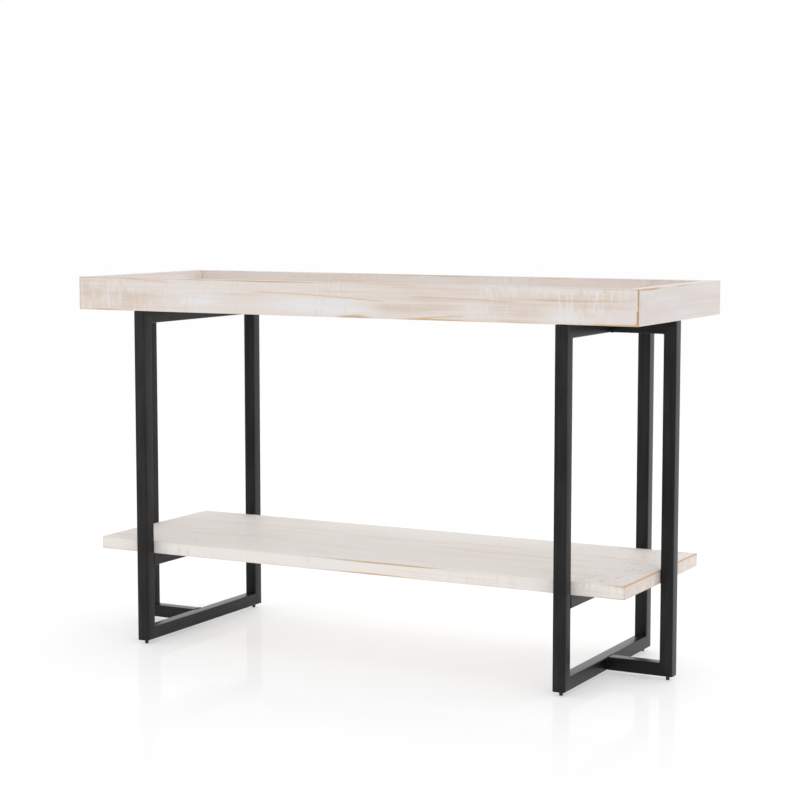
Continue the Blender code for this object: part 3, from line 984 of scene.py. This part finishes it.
def boltTree():
    # button-head bolts that point up, with a hexagon socket under the head
    tree, given = newTree("button head bolts", {
        "Radius": 0.003, "Head Radius": 0.0055, "Head Height": 0.0033, "Socket Flats": 0.004,
        "Socket Depth": 0.002, "Length": 0.02, "Segments": 36}, onPlaces=True)
    flat = times(tree, given["Socket Flats"], 0.5)
    rim = times(tree, given["Socket Flats"], boltShape["flatRim"])
    dome = minus(tree, given["Head Radius"], rim)
    domeHeight = times(tree, given["Head Height"], boltShape["domeShare"])

    # radius, height and 1 where the ring is six-sided, from the middle of the socket to the tip
    profile = [(0.0, given["Socket Depth"], 0), (flat, given["Socket Depth"], 1),
               (flat, boltShape["socketEdge"], 1)]
    for step in range(boltShape["domeSteps"] + 1):
        turn = step / boltShape["domeSteps"] * math.pi / 2
        height = times(tree, domeHeight, 1 - math.cos(turn))
        profile.append((moved(tree, rim, dome, math.sin(turn)), height, 0))
    shank = given["Radius"]
    tip = given["Length"]
    profile += [(given["Head Radius"], given["Head Height"], 0), (shank, given["Head Height"], 0),
                (shank, moved(tree, tip, shank, -boltShape["tipEdge"]), 0),
                (moved(tree, shank, shank, -boltShape["tipEdge"]), tip, 0), (0.0, tip, 0)]

    sheet, row, angle = polarGrid(tree, len(profile), given["Segments"])
    sector = minus(tree, maths(tree, "FLOORED_MODULO", angle, math.pi / 3), math.pi / 6)
    sixSided = divide(tree, 1.0, maths(tree, "COSINE", sector))
    hexagon = pick(tree, row, [float(kind) for radius, height, kind in profile])
    swell = moved(tree, 1.0, hexagon, minus(tree, sixSided, 1.0))
    radius = times(tree, pick(tree, row, [radius for radius, height, kind in profile]), swell)
    height = pick(tree, row, [height for radius, height, kind in profile])
    bolt = rolledUp(tree, sheet, radius, height, angle)
    bolts = result(tree, "GeometryNodeInstanceOnPoints", {"Points": given["Places"], "Instance": bolt})
    endTree(tree, bolts, given["Material"])
    return tree


def smoothTurned(mesh):
    mesh.shade_smooth()
    mesh.set_sharp_from_angle(angle=math.radians(35))


def buildBolts():
    ends = ["front_top", "back_top", "end_top", "front_shelf", "back_shelf"]
    nodes = [side + "_" + end + "_bolt" for side in sideTurns for end in ends]
    boxes = [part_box(node) for node in nodes]
    places = [((low.x + high.x) / 2, (low.y + high.y) / 2, low.z) for low, high in boxes]
    piece = makeFromTree("button_head_bolts", boltTree(), {
        "Radius": boltShape["radius"], "Head Radius": boltShape["headRadius"],
        "Head Height": boltShape["headHeight"], "Socket Flats": boltShape["socketFlats"],
        "Socket Depth": boltShape["socketDepth"], "Length": boxes[0][1].z - boxes[0][0].z,
        "Segments": boltShape["segments"], "Material": blackOxide}, places)
    smoothTurned(piece.data)
    finishPiece(piece, tableBody, "black_bolt", *nodes)


buildBolts()
print("bolts ready")


footShape = dict(
    pitch=0.0008,
    threadDepth=0.00045,
    tipTaper=0.0008,
    stepsPerTurn=6,
    segments=28,
    padEdge=0.0006,
    padFlare=0.00035,      # the pad's lip stands this far out of its taper
    padTaper=0.85,         # the pad's foot, as a share of its top
    padSegments=40,
    cornerSteps=4,
)


def stemTree():
    # a threaded stem that stands on the origin and points up
    tree, given = newTree("threaded stem", {
        "Radius": 0.0025, "Length": 0.0275, "Pitch": 0.0008, "Thread Depth": 0.00045,
        "Tip Taper": 0.0008, "Steps Per Turn": 6, "Segments": 28})
    turns = divide(tree, given["Length"], given["Pitch"])
    steps = maths(tree, "CEIL", times(tree, turns, given["Steps Per Turn"]))
    lastRow = add(tree, steps, 2.0)
    sheet, row, angle = polarGrid(tree, add(tree, lastRow, 1.0), given["Segments"])
    part = divide(tree, minus(tree, row, 1.0), steps, clamp=True)
    height = times(tree, part, given["Length"])
    phase = minus(tree, divide(tree, height, given["Pitch"]),
                  divide(tree, angle, 2 * math.pi))
    wave = maths(tree, "PINGPONG", phase, 0.5)
    groove = times(tree, ramp(tree, wave, 0.08, 0.42), given["Thread Depth"])
    toTip = minus(tree, given["Length"], height)
    taper = maths(tree, "MAXIMUM", minus(tree, given["Tip Taper"], toTip), 0.0)
    radius = minus(tree, given["Radius"], maths(tree, "MAXIMUM", groove, taper))
    inside = times(tree, maths(tree, "GREATER_THAN", row, 0.5),
                   maths(tree, "LESS_THAN", row, minus(tree, lastRow, 0.5)))
    stem = rolledUp(tree, sheet, times(tree, radius, inside), height, angle)
    endTree(tree, stem, given["Material"])
    return tree


def padTree():
    # a tapered foot with a lipped top and a blind bore, standing on the origin
    tree, given = newTree("foot pad", {
        "Bottom Radius": 0.0034, "Top Radius": 0.004, "Height": 0.0075, "Bore Radius": 0.0029,
        "Seat": 0.0022, "Edge": 0.0006, "Flare": 0.0003, "Segments": 40})
    edge = given["Edge"]
    height = given["Height"]
    foot = moved(tree, given["Bottom Radius"], edge, -1.0)
    lip = moved(tree, given["Top Radius"], edge, -0.5)
    waist = minus(tree, given["Top Radius"], given["Flare"])
    turns = [step / footShape["cornerSteps"] * math.pi / 2 for step in range(footShape["cornerSteps"] + 1)]

    # radius and height, from the middle of the underside up to the top and down the bore
    profile = [(0.0, 0.0)]
    for turn in turns:
        rise = times(tree, edge, 1 - math.cos(turn))
        profile.append((moved(tree, foot, edge, math.sin(turn)), rise))
    for flare, drop in ((0.0, 2.6), (0.3, 2.0), (0.85, 1.4)):
        profile.append((moved(tree, waist, given["Flare"], flare), moved(tree, height, edge, -drop)))
    for turn in turns:
        profile.append((moved(tree, lip, edge, 0.5 * math.cos(turn)),
                        moved(tree, height, edge, 0.5 * (math.sin(turn) - 1))))
    profile += [(given["Bore Radius"], height), (given["Bore Radius"], given["Seat"]), (0.0, given["Seat"])]

    sheet, row, angle = polarGrid(tree, len(profile), given["Segments"])
    pad = rolledUp(tree, sheet, pick(tree, row, [point[0] for point in profile]),
                   pick(tree, row, [point[1] for point in profile]), angle)
    endTree(tree, pad, given["Material"])
    return tree


def buildFeet():
    stems = stemTree()
    pads = padTree()
    for side in sideTurns:
        for leg in ("front", "back", "end"):
            body = side + "_" + leg + "_foot"
            low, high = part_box(body + "_stem")
            place = ((low.x + high.x) / 2, (low.y + high.y) / 2, low.z)
            stem = makeFromTree(body + "_threaded_stem", stems, {
                "Radius": (high.x - low.x) / 2, "Length": high.z - low.z, "Pitch": footShape["pitch"],
                "Thread Depth": footShape["threadDepth"], "Tip Taper": footShape["tipTaper"],
                "Steps Per Turn": footShape["stepsPerTurn"], "Segments": footShape["segments"],
                "Material": zincPlate})
            stem.data.transform(Matrix.Translation(place))
            smoothTurned(stem.data)
            finishPiece(stem, body, "zinc_steel", body + "_stem")

            padLow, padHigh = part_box(body + "_pad")
            padRadius = (padHigh.x - padLow.x) / 2
            pad = makeFromTree(body + "_turned_pad", pads, {
                "Bottom Radius": footShape["padTaper"] * padRadius, "Top Radius": padRadius,
                "Height": padHigh.z - padLow.z, "Bore Radius": tubeShape["stemHole"],
                "Seat": low.z - padLow.z - tubeShape["buttTrim"], "Edge": footShape["padEdge"],
                "Flare": footShape["padFlare"], "Segments": footShape["padSegments"],
                "Material": footNylon})
            pad.data.transform(Matrix.Translation((place[0], place[1], padLow.z)))
            smoothTurned(pad.data)
            finishPiece(pad, body, "black_nylon", body + "_pad")


buildFeet()
print("feet ready")


def paintHiddenSteel():
    # the inserts in the wood and the nuts inside the bars keep their CAD shapes
    for node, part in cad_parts.items():
        if node.endswith("_insert") or node.endswith("_nut"):
            for materialSlot in part.material_slots:
                materialSlot.material = zincPlate


paintHiddenSteel()


stage = dict(
    floorSize=60.0,
    floorColour=(0.50, 0.50, 0.50, 1.0),
    floorGlow=0.485,           # lifts the floor to the white of the background
    floorRoughness=0.05,
    floorMirror=0.045,         # how much of what falls on the floor it mirrors
    background=(1.0, 1.0, 1.0, 1.0),
    roomStrength=1.03,
    ceilingDrop=0.12,          # the ceiling is this much darker than the walls
    wallStrength=0.45,         # added where the lit wall behind the table is
    wallDirection=(-0.40, 0.90, 0.16),
)


# place, what it points at, width, height and power
softboxes = {
    "softbox above": ((0.2, 0.3, 3.0), (0, 0, 0.3), 3.0, 2.2, 18.0),
    "softbox behind": ((-0.4, 3.2, 2.2), (0, 0, 0.3), 3.6, 1.8, 9.0),
    "softbox right": ((1.9, 1.3, 0.9), (0.8, 0.4, 0), 0.8, 0.8, 4.5),
    "softbox left": ((-2.4, -2.7, 0.5), (-0.5, -0.2, 0.3), 0.7, 0.9, 2.2),
}


def buildStage():
    half = stage["floorSize"] / 2
    corners = [(-half, -half, 0), (half, -half, 0), (half, half, 0), (-half, half, 0)]
    mesh = bpy.data.meshes.new("floor")
    mesh.from_pydata(corners, [], [(0, 1, 2, 3)])
    material, tree, shader = newMaterial("pale floor")
    shader.inputs["Base Color"].default_value = stage["floorColour"]
    shader.inputs["Specular IOR Level"].default_value = 0.0
    shader.inputs["Emission Color"].default_value = stage["background"]
    shader.inputs["Emission Strength"].default_value = stage["floorGlow"]
    mirror = addNode(tree, "ShaderNodeBsdfAnisotropic", {"Roughness": stage["floorRoughness"]})
    both = result(tree, "ShaderNodeMixShader", {0: stage["floorMirror"], 1: shader.outputs[0],
                  2: mirror.outputs[0]})
    tree.links.new(both, tree.nodes["Material Output"].inputs["Surface"])
    mesh.materials.append(material)
    newObject("floor", mesh)


def addLight(name, place, target, width, height, power):
    light = bpy.data.lights.new(name, "AREA")
    light.shape = "RECTANGLE"
    light.size = width
    light.size_y = height
    light.energy = power
    lamp = newObject(name, light)
    lamp.location = place
    lamp.rotation_euler = (Vector(target) - Vector(place)).to_track_quat("-Z", "Y").to_euler()
    lamp.visible_camera = False


def buildLight():
    # the room is a soft white, brighter behind the table, and plain white to the camera itself
    world = bpy.data.worlds.new("studio")
    world.use_nodes = True
    bpy.context.scene.world = world
    tree = world.node_tree
    direction = addNode(tree, "ShaderNodeTexCoord").outputs["Generated"]
    towardsWall = addNode(tree, "ShaderNodeVectorMath", {0: direction, 1: stage["wallDirection"]},
                          operation="DOT_PRODUCT").outputs["Value"]
    lit = add(tree, ramp(tree, towardsWall, 0.45, 1.0, 0.0, stage["wallStrength"]), stage["roomStrength"])
    upwards = addNode(tree, "ShaderNodeSeparateXYZ", {0: direction}).outputs[2]
    lit = minus(tree, lit, ramp(tree, upwards, 0.1, 0.8, 0.0, stage["ceilingDrop"]))
    straight = addNode(tree, "ShaderNodeLightPath").outputs["Is Camera Ray"]
    strength = result(tree, "ShaderNodeMix", {0: straight, 2: lit, 3: 1.0}, data_type="FLOAT")
    background = tree.nodes["Background"]
    background.inputs["Color"].default_value = stage["background"]
    tree.links.new(strength, background.inputs["Strength"])
    for name, values in softboxes.items():
        addLight(name, *values)
    bpy.context.scene.view_settings.view_transform = "Standard"
    bpy.context.scene.view_settings.look = "None"


cameraSetting = dict(
    place=(1.867, -3.478, 0.898),
    turn=28.01,     # degrees round to the right of the table's front
    tilt=5.80,      # degrees down
    lens=90.28,
)


def buildCamera():
    camera = bpy.data.cameras.new("camera")
    camera.lens = cameraSetting["lens"]
    camera.sensor_width = 36.0
    camera.clip_end = 200.0
    holder = newObject("camera", camera)
    holder.location = cameraSetting["place"]
    holder.rotation_euler = (math.radians(90 - cameraSetting["tilt"]), 0, math.radians(cameraSetting["turn"]))
    bpy.context.scene.camera = holder


buildStage()
buildLight()
buildCamera()
print("stage ready")
